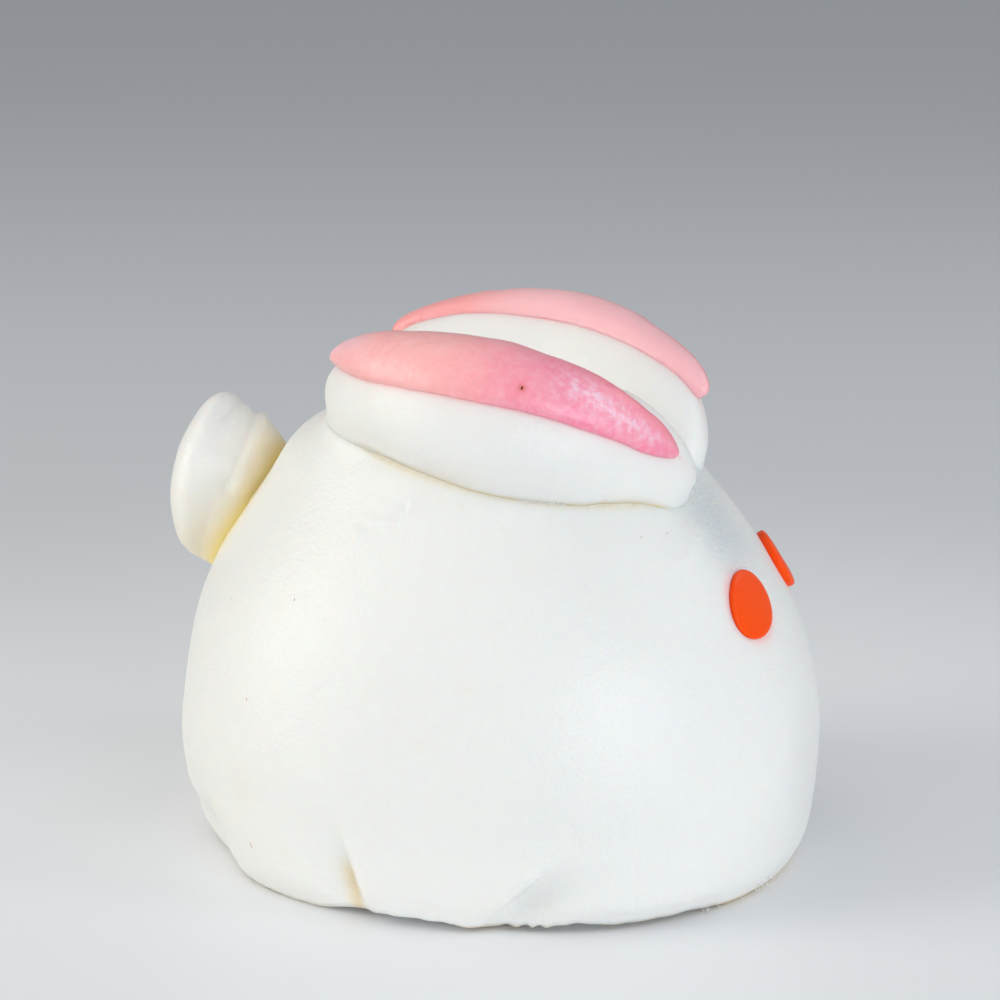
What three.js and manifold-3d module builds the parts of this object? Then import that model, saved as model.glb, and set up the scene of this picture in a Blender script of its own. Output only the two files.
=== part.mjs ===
// A rabbit-shaped steamed bun: a domed white body gathered in pleats round its foot, two long ears
// lying on its crown with a pink stripe along each, a round two-lobed tail and two flat orange eyes.
// Millimetres, +Z up. The rabbit faces -Y, so its right side is -X. The origin is the centre of the
// flat base that it rests on.
import * as THREE from "three";
import Module from "manifold-3d";
import { mergeVertices } from "three/addons/utils/BufferGeometryUtils.js";

const wasm = await Module();
wasm.setup();

// ---- Driving dimensions ----

const CLEARANCE = 0.3; // gap between pieces that lie on each other

const BODY = {
  height: 54.2,
  base: 33.4, // radius of the flat base before the plan is made oval
  // Heights as parts of the full height, and the radius there.
  profile: [
    [0, 34.2],
    [0.02, 35.2],
    [0.085, 36.4],
    [0.3, 37.5],
    [0.55, 34.3],
    [0.78, 26.4],
    [0.93, 18.5],
    [1, 0],
  ],
  front: 0.964, // plan half axes as parts of the radius
  back: 1.036,
  side: 0.88,
  squareness: 2.15, // 2 is an ellipse, more is squarer
  lean: 3.2, // how far the top leans back
  around: 104,
  rows: 28,
};

// Pleats gathered at the foot: direction from the front towards the rabbit's right, how it slants as
// it climbs, its height, depth and width, and which side is the steep lap, where the dough swells.
const PLEATS = [
  { at: 146, slant: -0.2, reach: 14, depth: 0.7, width: 4.0, lap: -1, swell: 0.4 },
  { at: 108, slant: -0.1, reach: 13, depth: 1.9, width: 3.4, lap: -1, swell: 0.5 },
  { at: 76, slant: -1.35, reach: 13, depth: 1.8, width: 5.4, lap: 1, swell: 0.4 },
  { at: -38, slant: 0.5, reach: 13, depth: 1.6, width: 4.4, lap: 1, swell: 0.5 },
  { at: -71, slant: 0.2, reach: 10, depth: 1.4, width: 3.6, lap: -1, swell: 0.5 },
  { at: -104, slant: -0.4, reach: 14, depth: 1.9, width: 4.8, lap: 1, swell: 0.6 },
  { at: -147, slant: 0.6, reach: 11, depth: 1.5, width: 4.0, lap: -1, swell: 0.5 },
  { at: 178, slant: 0.1, reach: 9, depth: 1.2, width: 3.8, lap: 1, swell: 0.4 },
];
const PLEAT = {
  sharpness: 0.3, // width of a pleat's steep side as part of its gentle side
  low: 3.5, // height where a pleat is deepest
  atFoot: 0.3, // its depth at the very foot, as part of that
  swellAt: 1.6, // middle of the swelling beside it, in pleat widths
  swellWidth: 1.5,
};

// A soft hollow where the foot is tucked under, behind on the rabbit's right (degrees, millimetres).
const TUCK = { at: 149, spread: 13, depth: 1.5, low: 3.5, reach: 9 };

// Both ears share one bean shape; each lies at its own place and turn (degrees).
const EAR = {
  halfLength: 21.6,
  halfWidth: 7.7,
  halfHeight: 8.15,
  fullness: 2.3, // 2 is an ellipse, more is blunter ends
  droop: 4.1, // how far the ends sink below the middle
  bend: 7.5, // how far the ends curve in towards the middle line
  around: 20,
  along: 32,
};
const EARS = [
  { name: "right", side: -1, at: [-15.3, -3.3, 52.1], yaw: 8.0, pitch: 13.9, tilt: 14.9 },
  { name: "left", side: 1, at: [15.5, -2.7, 52.6], yaw: 11.2, pitch: 9.2, tilt: 13.7 },
];

// A stripe runs from the front end of its ear to the back end. Its middle and its edges are angles
// round the ear: 0 is straight out and 90 is the crest. Its front end narrows to a point.
const STRIPE = {
  thickness: 1.2,
  turning: [0.22, 0.83], // where the front turn begins and ends, as parts of the half length
  backPower: 8, // how late its back end rounds off
  backRound: 0.35,
  around: 12,
  along: 30,
};
const STRIPES = {
  right: { front: -0.87, back: 0.96, middle: 92, half: 50, frontTurn: -34, taper: 0.85 },
  left: { front: -0.915, back: 0.95, middle: 90, half: 48, frontTurn: 8, taper: 0.45 },
};

// The tail is two pressed lobes that meet in a crease, an outer disc and a smaller inner one.
const TAIL = {
  centre: [0, 35.6, 41.6],
  blend: 0.35, // softness of the crease
  around: 28,
  rows: 18,
};
const TAIL_LOBES = [
  { at: [0, 37.3, 41.0], half: [8.4, 4.0, 10.6], tilt: 8 },
  { at: [0.4, 33.2, 42.8], half: [7.4, 4.8, 6.9], tilt: 8 },
];

// Flat discs on the face: direction from the front towards the rabbit's right, height of the middle,
// half width and half height, and the turn of the oval (degrees).
const EYE = { thickness: 0.9, around: 20, rows: 8 };
const EYES = [
  { name: "eye_right", towardsRight: 15.3, z: 32.6, half: [3.4, 4.0], turn: -32 },
  { name: "eye_left", towardsRight: -15.6, z: 33.2, half: [3.6, 3.9], turn: 0 },
];

// ---- Small helpers ----

const rad = THREE.MathUtils.degToRad;
const clamp = THREE.MathUtils.clamp;
const smooth = (x, low, high) => THREE.MathUtils.smoothstep(x, low, high);

// A signed angle between -180 and 180 degrees.
const wrap = (degrees) => THREE.MathUtils.euclideanModulo(degrees + 180, 360) - 180;

// Leaves only positions, so that vertices shared by faces are one vertex.
function welded(geometry) {
  geometry.deleteAttribute("normal");
  geometry.deleteAttribute("uv");
  return mergeVertices(geometry, 1e-4);
}

// Moves every vertex of a geometry to shape(x, y, z).
function reshaped(geometry, shape) {
  const position = geometry.getAttribute("position");
  for (let i = 0; i < position.count; i++) {
    const p = shape(position.getX(i), position.getY(i), position.getZ(i));
    position.setXYZ(i, p.x, p.y, p.z);
  }
  return welded(geometry);
}

function toManifold(geometry) {
  const vertProperties = new Float32Array(geometry.getAttribute("position").array);
  const triVerts = new Uint32Array(geometry.index.array);
  return new wasm.Manifold(new wasm.Mesh({ numProp: 3, vertProperties, triVerts }));
}

function toGeometry(manifold) {
  const mesh = manifold.getMesh();
  const geometry = new THREE.BufferGeometry();
  geometry.setAttribute("position", new THREE.BufferAttribute(mesh.vertProperties, 3));
  geometry.setIndex(new THREE.BufferAttribute(mesh.triVerts, 1));
  return geometry;
}

// A named mesh whose facets are shaded smooth.
function piece(name, geometry, material) {
  geometry.computeVertexNormals();
  const mesh = new THREE.Mesh(geometry, material);
  mesh.name = name;
  return mesh;
}

// ---- Body ----

// The profile from the flat base to the top, as a curve of radius against height.
const profile = new THREE.SplineCurve(
  BODY.profile.map(([part, radius]) => new THREE.Vector2(radius, part * BODY.height)),
);

// The profile's radius at a height.
function profileRadius(z) {
  let low = 0;
  let high = 1;
  for (let step = 0; step < 30; step++) {
    const middle = (low + high) / 2;
    if (profile.getPoint(middle).y < z) low = middle;
    else high = middle;
  }
  return profile.getPoint(low).x;
}

// The oval plan's half axis in a direction, as part of the profile's radius.
function planScale(azimuth) {
  const length = Math.cos(azimuth) > 0 ? BODY.front : BODY.back;
  const forward = Math.abs(Math.cos(azimuth) / length) ** BODY.squareness;
  const sideways = Math.abs(Math.sin(azimuth) / BODY.side) ** BODY.squareness;
  return (forward + sideways) ** (-1 / BODY.squareness);
}

// How far the pleats move the skin out, in a direction and at a height: a groove with one steep
// side, and a swelling beside that side.
function pleatRelief(azimuth, z, radius) {
  const foot = THREE.MathUtils.lerp(PLEAT.atFoot, 1, smooth(z, 0, PLEAT.low));
  let relief = 0;
  for (const pleat of PLEATS) {
    const degrees = wrap(-THREE.MathUtils.radToDeg(azimuth) - pleat.at - pleat.slant * z);
    const across = ((rad(degrees) * radius) / pleat.width) * pleat.lap;
    const groove = Math.exp(-((across / (across > 0 ? PLEAT.sharpness : 1)) ** 2));
    const swelling = Math.exp(-(((across - PLEAT.swellAt) / PLEAT.swellWidth) ** 2));
    const fade = 1 - smooth(z, PLEAT.low, pleat.reach);
    relief += fade * (pleat.swell * swelling - foot * pleat.depth * groove);
  }
  const aside = wrap(-THREE.MathUtils.radToDeg(azimuth) - TUCK.at) / TUCK.spread;
  const lowered = 1 - smooth(z, TUCK.low, TUCK.reach);
  return relief - TUCK.depth * lowered * Math.exp(-(aside ** 2));
}

// A point of the skin. Azimuth 0 is the front and grows towards the rabbit's left.
function bodyPoint(azimuth, z, profileR) {
  const plan = profileR * planScale(azimuth);
  const relief = plan > BODY.base / 2 ? pleatRelief(azimuth, z, plan) : 0;
  const radius = plan + relief;
  const lean = BODY.lean * (z / BODY.height) ** 2;
  return new THREE.Vector3(radius * Math.sin(azimuth), lean - radius * Math.cos(azimuth), z);
}

function bodyGeometry() {
  const outline = profile.getPoints(BODY.rows);
  outline.forEach((point) => point.set(Math.max(point.x, 0), Math.max(point.y, 0)));
  outline.unshift(new THREE.Vector2(0, 0), new THREE.Vector2(BODY.base, 0));
  outline[outline.length - 1].x = 0;
  const lathe = new THREE.LatheGeometry(outline, BODY.around);
  return reshaped(lathe, (x, height, z) =>
    bodyPoint(Math.atan2(x, z), height, Math.hypot(x, z)),
  );
}

// The body grown by the clearance, which cuts the pieces that lie on it.
function bodyCutter() {
  const geometry = bodyGeometry();
  geometry.computeVertexNormals();
  const position = geometry.getAttribute("position");
  const normal = geometry.getAttribute("normal");
  for (let i = 0; i < position.count; i++) {
    const vertex = new THREE.Vector3().fromBufferAttribute(position, i);
    vertex.addScaledVector(new THREE.Vector3().fromBufferAttribute(normal, i), CLEARANCE);
    position.setXYZ(i, vertex.x, vertex.y, vertex.z);
  }
  geometry.deleteAttribute("normal");
  return toManifold(geometry);
}

// ---- Ears ----

// The turn and place of an ear, with its top tilted outwards and its front end lowered.
function earMatrix(ear) {
  const turn = new THREE.Matrix4().makeRotationZ(-ear.side * rad(ear.yaw));
  turn.multiply(new THREE.Matrix4().makeRotationX(rad(ear.pitch)));
  turn.multiply(new THREE.Matrix4().makeRotationY(ear.side * rad(ear.tilt)));
  return new THREE.Matrix4().makeTranslation(...ear.at).multiply(turn);
}

// A point of an ear grown by lift: part runs from -1 at the front end to 1 at the back, and across
// and up are a direction in the ear's section.
function earPoint(ear, matrix, part, across, up, lift) {
  const section = Math.sqrt(Math.max(0, 1 - Math.abs(part) ** EAR.fullness));
  const point = new THREE.Vector3(
    (EAR.halfWidth + lift) * section * across - ear.side * EAR.bend * part * part,
    (EAR.halfLength + lift) * part,
    (EAR.halfHeight + lift) * section * up - EAR.droop * part * part,
  );
  return point.applyMatrix4(matrix);
}

function earGeometry(ear) {
  const matrix = earMatrix(ear);
  const ball = new THREE.SphereGeometry(1, EAR.around, EAR.along);
  return reshaped(ball, (x, y, z) => {
    const round = Math.hypot(x, z) || 1;
    const part = Math.sign(y) * Math.abs(y) ** (2 / EAR.fullness);
    return earPoint(ear, matrix, part, x / round, z / round, 0);
  });
}

// ---- Stripes ----

// A stripe is a low pillow on the ear's skin. The ball it is made from gives the part along the ear
// by y, the place across it by x, and its top or underside by z.
function stripeGeometry(ear) {
  const matrix = earMatrix(ear);
  const stripe = STRIPES[ear.name];
  const middle = (stripe.front + stripe.back) / 2;
  const reach = (stripe.back - stripe.front) / 2;
  const ball = new THREE.SphereGeometry(1, STRIPE.around, STRIPE.along);
  return reshaped(ball, (x, y, z) => {
    const round = Math.hypot(x, z) || 1;
    const part = middle + reach * y;
    const narrowed = Math.max(0, 1 - y * y) ** stripe.taper;
    const rounded = Math.max(0, 1 - Math.abs(y) ** STRIPE.backPower) ** STRIPE.backRound;
    const breadth = y < 0 ? narrowed : rounded;
    const turn = stripe.middle + stripe.frontTurn * smooth(-part, ...STRIPE.turning);
    const angle = rad(turn - ear.side * (x / round) * stripe.half * breadth);
    const top = Math.max(0, z / round) ** 0.6 * rounded;
    const lift = CLEARANCE + STRIPE.thickness * top;
    return earPoint(ear, matrix, part, ear.side * Math.cos(angle), Math.sin(angle), lift);
  });
}

// ---- Tail ----

// Distance from the tail's centre to a lobe's skin in a direction.
function lobeReach(lobe, direction) {
  const turn = new THREE.Matrix4().makeRotationX(-rad(lobe.tilt));
  const half = new THREE.Vector3(...lobe.half);
  const start = new THREE.Vector3(...TAIL.centre).sub(new THREE.Vector3(...lobe.at));
  start.applyMatrix4(turn).divide(half);
  const step = direction.clone().applyMatrix4(turn).divide(half);
  const a = step.lengthSq();
  const b = start.dot(step);
  return (Math.sqrt(Math.max(0, b * b - a * (start.lengthSq() - 1))) - b) / a;
}

function tailGeometry() {
  const ball = new THREE.SphereGeometry(1, TAIL.around, TAIL.rows);
  return reshaped(ball, (x, y, z) => {
    const direction = new THREE.Vector3(x, y, z).normalize();
    const [outer, inner] = TAIL_LOBES.map((lobe) => lobeReach(lobe, direction));
    const reach = (outer + inner + Math.hypot(outer - inner, TAIL.blend)) / 2;
    return direction.multiplyScalar(reach).add(new THREE.Vector3(...TAIL.centre));
  });
}

// ---- Eyes ----

// The skin's outward normal, by small steps round and up the body.
function bodyNormal(azimuth, z) {
  const step = 0.01;
  const at = (turn, height) => bodyPoint(turn, height, profileRadius(height));
  const round = at(azimuth + step, z).sub(at(azimuth - step, z));
  const up = at(azimuth, z + step).sub(at(azimuth, z - step));
  return round.cross(up).normalize();
}

// A disc that lies on the skin: x and y of the ball spread it, z gives its face or its back.
function eyeGeometry(eye) {
  const centre = -rad(eye.towardsRight);
  const radius = profileRadius(eye.z) * planScale(centre);
  const slope = bodyNormal(centre, eye.z);
  const climb = Math.hypot(slope.x, slope.y);
  const ball = new THREE.SphereGeometry(1, EYE.around, EYE.rows);
  ball.rotateX(Math.PI / 2);
  return reshaped(ball, (x, y, z) => {
    const spread = new THREE.Vector2(eye.half[0] * x, eye.half[1] * y);
    spread.rotateAround(new THREE.Vector2(), rad(eye.turn));
    const azimuth = centre + spread.x / radius;
    const height = eye.z + spread.y * climb;
    const lift = CLEARANCE + EYE.thickness * clamp(z / 0.5, 0, 1);
    const skin = bodyPoint(azimuth, height, profileRadius(height));
    return skin.addScaledVector(bodyNormal(azimuth, height), lift);
  });
}

// ---- Materials ----

function finish(color, roughness) {
  return new THREE.MeshStandardMaterial({ color, roughness, metalness: 0 });
}

const dough = finish(0xf3f1e9, 0.5);
const pinkDough = finish(0xf58a93, 0.45);
const orangeDisc = finish(0xf2581f, 0.35);

// ---- The bun ----

const bun = new THREE.Group();
const cutter = bodyCutter();
bun.add(piece("bun_body", bodyGeometry(), dough));
for (const ear of EARS) {
  const onBody = toManifold(earGeometry(ear)).subtract(cutter);
  bun.add(piece(`ear_${ear.name}`, toGeometry(onBody), dough));
  const stripe = toManifold(stripeGeometry(ear)).subtract(cutter);
  bun.add(piece(`ear_stripe_${ear.name}`, toGeometry(stripe), pinkDough));
}
bun.add(piece("tail", toGeometry(toManifold(tailGeometry()).subtract(cutter)), dough));
for (const eye of EYES) bun.add(piece(eye.name, eyeGeometry(eye), orangeDisc));

export default bun;
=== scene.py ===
"""A rabbit-shaped steamed bun: a white dough body gathered at the foot, two ears with pink stripes,
a pressed tail and two flat orange eyes, on a plain pale floor. Lengths inside are millimetres."""
import math
from functools import partial

import bpy
import numpy as np
from bpy.props import FloatProperty, FloatVectorProperty, PointerProperty
from mathutils import Matrix, Vector


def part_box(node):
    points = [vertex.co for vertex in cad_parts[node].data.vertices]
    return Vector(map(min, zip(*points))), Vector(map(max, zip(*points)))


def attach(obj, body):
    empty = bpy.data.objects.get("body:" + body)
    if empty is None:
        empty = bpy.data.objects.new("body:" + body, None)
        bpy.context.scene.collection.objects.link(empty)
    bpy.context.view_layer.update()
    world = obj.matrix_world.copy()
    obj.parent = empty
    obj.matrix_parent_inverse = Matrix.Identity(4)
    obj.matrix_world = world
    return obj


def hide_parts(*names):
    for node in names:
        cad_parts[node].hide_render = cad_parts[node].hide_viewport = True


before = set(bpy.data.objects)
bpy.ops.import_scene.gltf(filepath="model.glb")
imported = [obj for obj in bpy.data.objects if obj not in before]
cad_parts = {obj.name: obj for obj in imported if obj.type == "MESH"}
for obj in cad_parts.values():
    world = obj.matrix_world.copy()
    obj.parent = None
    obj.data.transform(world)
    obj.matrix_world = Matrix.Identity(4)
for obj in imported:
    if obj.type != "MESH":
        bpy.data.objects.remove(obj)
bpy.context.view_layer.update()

bl_info = {
    "name": "Rabbit Steamed Bun",
    "version": (1, 0, 0),
    "blender": (4, 5, 0),
    "location": "View3D > Sidebar > Bun",
    "description": "Shapes a rabbit steamed bun from dough pieces and sets it on a pale floor",
    "category": "Object",
}

MM = 0.001

# ---- The body's shape ----

# Heights as parts of the body's height, and the radius there before the plan is made oval.
PROFILE = [
    (0, 34.2), (0.02, 35.2), (0.085, 36.4), (0.3, 37.5), (0.55, 34.3), (0.78, 26.4), (0.93, 18.5), (1, 0),
]
PLAN = {"front": 0.964, "back": 1.036, "side": 0.88, "squareness": 2.15}
LEAN = 3.2  # how far the top leans back
BASE = 33.4  # radius from which the foot's edge is at its most ragged
BASE_RINGS = (4, 10, 16, 21, 24, 26, 27, 28, 29, 30, 31, 32, 33, 33.7)  # radii under the foot
BODY_ROWS, BODY_COLUMNS = 168, 470
CELL, LOWEST = 0.25, -8  # cell and lowest height of the table of distances to the profile

# Pleats at the foot: direction from the front towards the rabbit's right, slant, height, depth, width,
# the side of the steep lap, the swelling beside it, and the part of the depth that is left at the foot.
PLEATS = [
    (146, -0.2, 14, 0.7, 4.0, -1, 0.4, 0.3),
    (103.9, 0.5, 13, 1.7, 4.0, -1, 0.5, 0.35),
    (78.4, -1.6, 9, 2.3, 5.6, 1, 0.85, 0.5),
    (-38, 0.5, 13, 1.6, 4.4, 1, 0.5, 0.4),
    (-71, 0.2, 10, 1.4, 3.6, -1, 0.5, 0.3),
    (-104, -0.4, 14, 1.9, 4.8, 1, 0.6, 0.45),
    (-147, 0.6, 11, 1.5, 4.0, -1, 0.5, 0.3),
    (178, 0.1, 9, 1.2, 3.8, 1, 0.4, 0.3),
]
PLEAT = {"sharpness": 0.24, "low": 3.5, "swell_at": 1.6, "swell_width": 1.5, "fade": (54, 40)}

# Where the foot is tucked under or spreads out: direction, spread, power, how far out, and where it fades.
FOOT_PLACES = [(149, 13, 2, -1.5, 3.5, 9), (82, 48, 4, 1.2, 3, 12)]

# Where the foot's edge curls up off the plate: direction, spread and lift.
CURLS = [
    (97, 15, 1.05), (66, 10, 0.85), (44, 14, 0.6), (-20, 14, 0.4), (-88, 12, 0.6), (-130, 10, 0.4),
    (165, 9, 0.35),
]
# Bits that hang from the foot's edge: direction, half width and drop.
TEETH = [(72.9, 0.9, 0.25), (69.9, 0.85, 0.4), (67.2, 1.0, 0.3)]
# How ragged the foot's edge is all round, and how much more at one place.
RAGGED = {"least": 0.12, "more": 0.3, "at": 69, "spread": 6.5, "lump": 1.3, "floor": -0.3}

# Where the body is fuller or flatter than its profile: direction, height, spread and how far.
FULL_PLACES = [(-3, 38.5, 9, 0.33), (163, 18, 8, -0.3), (17, 45.5, 4, -0.6)]

# Marks along a line on the skin, whose ends are given by direction and height: a soft fold below the right
# ear's front end, a patch that dried rough, and the frosted brow.
FOLD = {"right": (17.5, 32.0), "height": (40.6, 36.4), "width": 1.6, "out": 0.3, "fade": (0.35, 1.0)}
PATCH = {
    "right": (112.1, 99.8), "height": (41.6, 44.2), "width": 1.1, "out": 0.22, "lump": 0.75, "frost": 0.12,
}
# Glints are painted on the frosted brow, and faintly on the rough patch.
BROW = {"right": (5.0, 8.0), "height": (43.0, 39.5), "width": 6.0}

# Small smears on the skin: direction, height, half width, half height and strength.
STAINS = [
    (82.1, 27.3, 1.4, 0.35, 0.1), (78.5, 37.7, 1.3, 0.4, 0.07), (91.1, 20.9, 1.1, 0.7, 0.06),
    (82.9, 44.8, 0.4, 0.4, 0.1), (71.2, 42.8, 0.4, 0.3, 0.08), (121.2, 6.2, 0.4, 0.4, 0.15),
    (131, 12, 2.0, 3.0, 0.05),
]

# Unevenness of each skin in two layers: how far, the width of a lump and the seed.
UNEVEN = {
    "body": [(0.7, 13.0, 4), (0.3, 6.0, 9)],
    "ear": [(0.12, 5.0, 17), (0.1, 9.0, 18)],
    "stripe": [(0.1, 4.0, 51), (0.05, 1.6, 52)],
    "stripe edge": [(0.05, 1.1, 53), (0.06, 2.6, 54)],
    "tail": [(0.14, 4.5, 61), (0.05, 1.8, 62)],
}

# ---- The ears', stripes', tail's and eyes' shapes ----

# Each ear's place and its turn in degrees. Below its widest line the front end leans forward by "upright",
# its tip is drawn back by "tuck", and "deep" is its depth as part of the usual one.
EARS = {
    "right": {
        "side": -1, "at": (-15.3, -3.3, 52.1), "yaw": 8.0, "pitch": 13.9, "tilt": 14.9,
        "upright": 0.22, "tuck": 0.45, "deep": 1.18,
    },
    "left": {
        "side": 1, "at": (15.5, -2.7, 52.6), "yaw": 11.2, "pitch": 9.2, "tilt": 13.7,
        "upright": 0.05, "tuck": 0, "deep": 1,
    },
}
EAR = {
    "fullness": 2.3, "droop": 4.1, "bend": 7.5, "skirt": (-0.7, -0.95), "square": 0.75, "blunt": (7, 0.1),
    "shallow": 0.14, "shallow_span": (0.35, 0.7, 0.4), "rows": 262, "columns": 200,
}

# A fuller place on each ear's inner side: how full, its angle round the ear, its part and both spreads.
FULLER = {"right": (0.9, 120, -0.6, 34, 0.24), "left": (0.3, 120, -0.5, 34, 0.3)}

# The lip over the right ear's outer seam and the pocket in it: how far out, the gap to the body and its
# spread, and the span of the ear.
SEAM_SHAPES = [(0.24, 1.5, 0.55, (0.42, 0.68, 0.12)), (-0.32, 0, 0.7, (-0.78, -0.6, 0.12))]
# Where tan is painted as shade along that seam, in its pocket and in a band above it: strength, reach and the
# span of the ear.
SEAM_SHADES = [(0.65, 0.5, (-0.78, -0.6, 0.08)), (0.28, 1.4, (0.15, 0.75, 0.2))]

# A stripe's ends as parts of its ear, and how pink its front is. From its front end at -1 to its back end
# at 1: the angle of its middle, half its breadth as an angle, and its thickness as part of the usual one.
STRIPES = {
    "right": {
        "front": -0.88, "back": 0.952, "pink": 1,
        "middle": [
            (-1, 67), (-0.93, 69), (-0.77, 71), (-0.6, 74.5), (-0.35, 85.5), (0, 91), (0.6, 91), (1, 86),
        ],
        "half": [
            (-1, 34), (-0.84, 30.5), (-0.7, 27.4), (-0.58, 29.6), (-0.4, 36.8), (0, 46.4), (0.6, 51.6),
            (1, 51),
        ],
        "thick": [
            (-1, 0.45), (-0.85, 0.5), (-0.6, 0.7), (-0.3, 1.02), (0, 1.15), (0.6, 1.02), (0.85, 1.4),
            (1, 1.8),
        ],
    },
    "left": {
        "front": -0.853, "back": 0.945, "pink": 0.5,
        "middle": [(-1, 87), (-0.5, 89.5), (0, 90), (1, 90)],
        "half": [
            (-1, 31), (-0.85, 33), (-0.7, 37), (-0.45, 40), (0, 42.5), (0.35, 43), (0.62, 40), (0.8, 37),
            (1, 28),
        ],
        "thick": [
            (-1, 2.0), (-0.85, 1.5), (-0.6, 0.9), (-0.3, 1.03), (0, 1.05), (0.6, 0.92), (0.85, 1.2),
            (1, 1.75),
        ],
    },
}
STRIPE = {"rows": 242, "columns": 140, "round": (6, 8), "sunk": 0.5, "radius": 7.5, "run": 19}

TAIL = {"centre": (0, 35.6, 41.6), "blend": 0.9, "blend_low": 2.2, "soft": 0.8, "rows": 202, "columns": 240}
# The tail's lobes, an outer, an inner and a low one: middle, half sizes and tilt in degrees.
LOBES = [
    ((0, 37.24, 41.54), (8.4, 3.32, 9.44), 9.4), ((0.4, 34.83, 42.51), (7.2, 4.2, 6.88), 8),
    ((0, 33.55, 38.63), (6.8, 6.28, 8.94), 8),
]
# A fold pressed down the inner side of the tail, as points from its top to its foot.
TAIL_FOLD = [
    (4.5, 33.0, 49.0), (2.0, 32.4, 48.9), (-1.4, 31.7, 48.0), (-3.5, 31.6, 46.6), (-5.0, 31.9, 45.0),
    (-6.1, 32.3, 43.3), (-6.8, 32.8, 41.6),
]

# Eyes: direction towards the rabbit's right, height, half width, half height, turn and part of the thickness.
EYES = {"eye_right": (14.55, 32.45, 3.5, 4.5, -57, 1.0), "eye_left": (-18.8, 33.0, 4.1, 3.6, 0, 1.7)}
EYE = {"rows": 62, "columns": 120, "rim": 0.25, "face": 0.6, "sunk": 0.15}

# ---- The marks, lights and camera ----

SPECK = (-21.1, -7.1, 58.2)  # where a burnt speck lies on the right stripe
# Specks: the skin they lie on, their slot, and each one's place, direction and length, width and thickness.
SPECKS = {
    "burnt_speck": ("pink_stripe_right", "pink_dough", [(SPECK, (0.3, -0.2, 1), (0.42, 0.24, 0.08))]),
    "browned_specks": ("white_body", "dough", [
        ((-25.2, 17.7, 33.9), (0, 0, 1), (0.3, 0.16, 0.05)),
        ((-20.1, 27.2, 32.0), (0, 1, 1), (0.2, 0.12, 0.05)),
        ((-26.8, 23.0, 22.5), (0, 0.3, 1), (0.36, 0.12, 0.05)),
        ((-27.1, 22.3, 5.7), (0.1, -0.5, -1), (0.7, 0.14, 0.05)),
        ((-12.5, -21.2, 41.1), (1, 0, 0), (0.16, 0.14, 0.05)),
        ((-15.4, -19.0, 41.2), (1, 0, 0), (0.18, 0.16, 0.05)),
    ]),
}
# Crumbs and glazed dashes along the right ear's seam: span of the ear, count, and length, width, thickness.
CRUMBS = [
    (-0.42, -0.18, 26, (0.3, 0.24, 0.2)), (0.3, 0.62, 13, (0.75, 0.16, 0.12)),
    (-0.8, 0.6, 22, (0.2, 0.14, 0.12)),
]
# Torn threads at the foot: how many, and the ranges of their direction, sway, length and thickness.
FIBRES = {"count": 16, "right": (14, 36), "sway": (-0.5, 0.5), "length": (0.5, 1.3), "thick": (0.045, 0.08)}

FLOOR_RINGS, FLOOR_SIDES, FLOOR_DROP = (0.05, 0.15, 0.4, 1.0, 2.5, 6.0), 96, 0.00005  # in metres
# Lights: azimuth from +X towards +Y, elevation, distance, width and height in metres, and colour.
LIGHTS = {
    "window": (118, 19, 0.6, 0.31, 0.42, (1.0, 0.985, 0.9)),
    "fill": (-133, 10, 0.7, 0.45, 0.16, (0.86, 0.93, 1.0)),
    "face": (-42, 33, 0.6, 0.2, 0.12, (0.9, 0.95, 1.0)),
    "lamp": (-91, 34, 0.7, 0.16, 0.12, (1.0, 1.0, 1.0)),
    "overhead": (105, 66, 0.7, 0.6, 0.5, (1.0, 0.98, 0.92)),
}
LIGHT_TARGET = (0, 0, 0.03)
ROOM_COLOR = (0.93, 0.96, 1.0, 1)
CAMERA_AT = (-0.31597, -0.09202, 0.11913)


# ---- Small helpers ----

def smoothstep(low, high, x):
    t = np.clip((np.asarray(x, float) - low) / (high - low), 0, 1)
    return t * t * (3 - 2 * t)


def window(x, start, end, soft):
    """1 between start and end, fading out over soft on each side."""
    return smoothstep(start - soft, start, x) * (1 - smoothstep(end, end + soft, x))


def hill(x, width, power=2):
    """1 at 0, falling away to both sides; a higher power has a flatter top."""
    return np.exp(-((x / width) ** power))


def fading(gap, width):
    """1 where two skins meet, falling away as the gap between them opens."""
    return np.exp(-np.maximum(gap, 0) / width)


def wrap(degrees):
    return (degrees + 180) % 360 - 180


def unit(vectors):
    return vectors / np.maximum(np.linalg.norm(vectors, axis=-1, keepdims=True), 1e-9)


def pushed(points, normals, out):
    """Points moved out along their normals."""
    return points + normals * out[..., None]


def half_turn(rows):
    """Angles from pole to pole as a column, without the poles themselves."""
    return np.linspace(0, np.pi, rows)[1:-1][:, None]


def full_turn(columns):
    """Angles once round about as a row."""
    return np.linspace(0, 2 * np.pi, columns, endpoint=False)[None]


def eased(table, x):
    """The value at x on a smooth curve through (place, value) pairs."""
    at, value = np.array(table, float).T
    slope = np.gradient(value, at)
    i = np.clip(np.searchsorted(at, x) - 1, 0, len(at) - 2)
    step = at[i + 1] - at[i]
    t = np.clip((x - at[i]) / step, 0, 1)
    curve = value[i] * (1 + 2 * t) * (1 - t) ** 2 + value[i + 1] * t * t * (3 - 2 * t)
    return curve + step * t * (1 - t) * (slope[i] * (1 - t) - slope[i + 1] * t)


def spline(points, steps):
    """A smooth curve through the points, with the same number of steps in each span."""
    p = np.array(points, float)
    n = len(p) - 1
    t = np.linspace(0, n, steps * n + 1)
    i = np.minimum(t.astype(int), n - 1)
    w = (t - i)[:, None]
    before, a, b, after = p[np.maximum(i - 1, 0)], p[i], p[i + 1], p[np.minimum(i + 2, n)]
    v0, v1 = (b - before) / 2, (after - a) / 2
    return (2 * a - 2 * b + v0 + v1) * w**3 + (-3 * a + 3 * b - 2 * v0 - v1) * w**2 + v0 * w + a


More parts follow.
